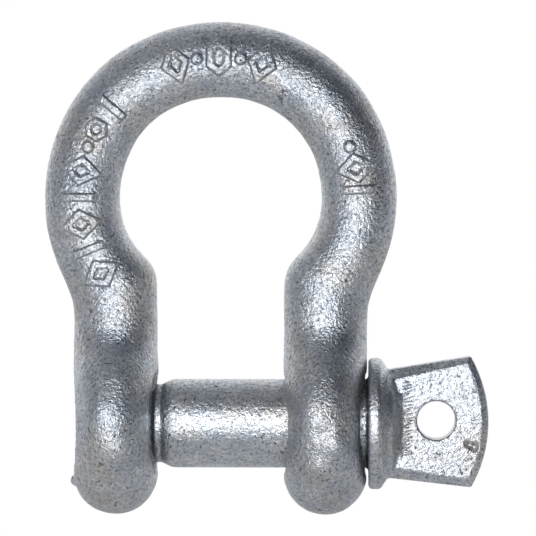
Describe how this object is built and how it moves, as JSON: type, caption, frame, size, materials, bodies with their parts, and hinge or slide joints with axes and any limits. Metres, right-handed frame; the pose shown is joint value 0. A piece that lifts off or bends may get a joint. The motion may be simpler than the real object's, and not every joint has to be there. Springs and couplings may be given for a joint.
{
  "type": "bow shackle",
  "caption": "Galvanised forged bow shackle whose screw pin, with a collar and a flat eye, threads into one ear and closes the jaw for rigging and mooring loads.",
  "frame": {"origin": "on the pin's axis, midway between the ears", "axes": "+X along the pin towards its eye, +Z from the pin to the crown of the bow, +Y through the bow"},
  "size_m": [0.1123, 0.046, 0.1246],
  "materials": {
    "galvanised_bow": "hot-dip galvanised forged steel, dull spangled grey",
    "galvanised_pin": "hot-dip galvanised forged steel, brighter grey"
  },
  "bodies": {
    "bow": {"bow": "galvanised_bow"},
    "screw_pin": {"screw_pin": "galvanised_pin"}
  },
  "joints": [
    {"name": "pin_withdraw", "type": "slide", "parent": "bow", "child": "screw_pin", "axis": [1, 0, 0], "range_m": [0, 0.08]}
  ]
}
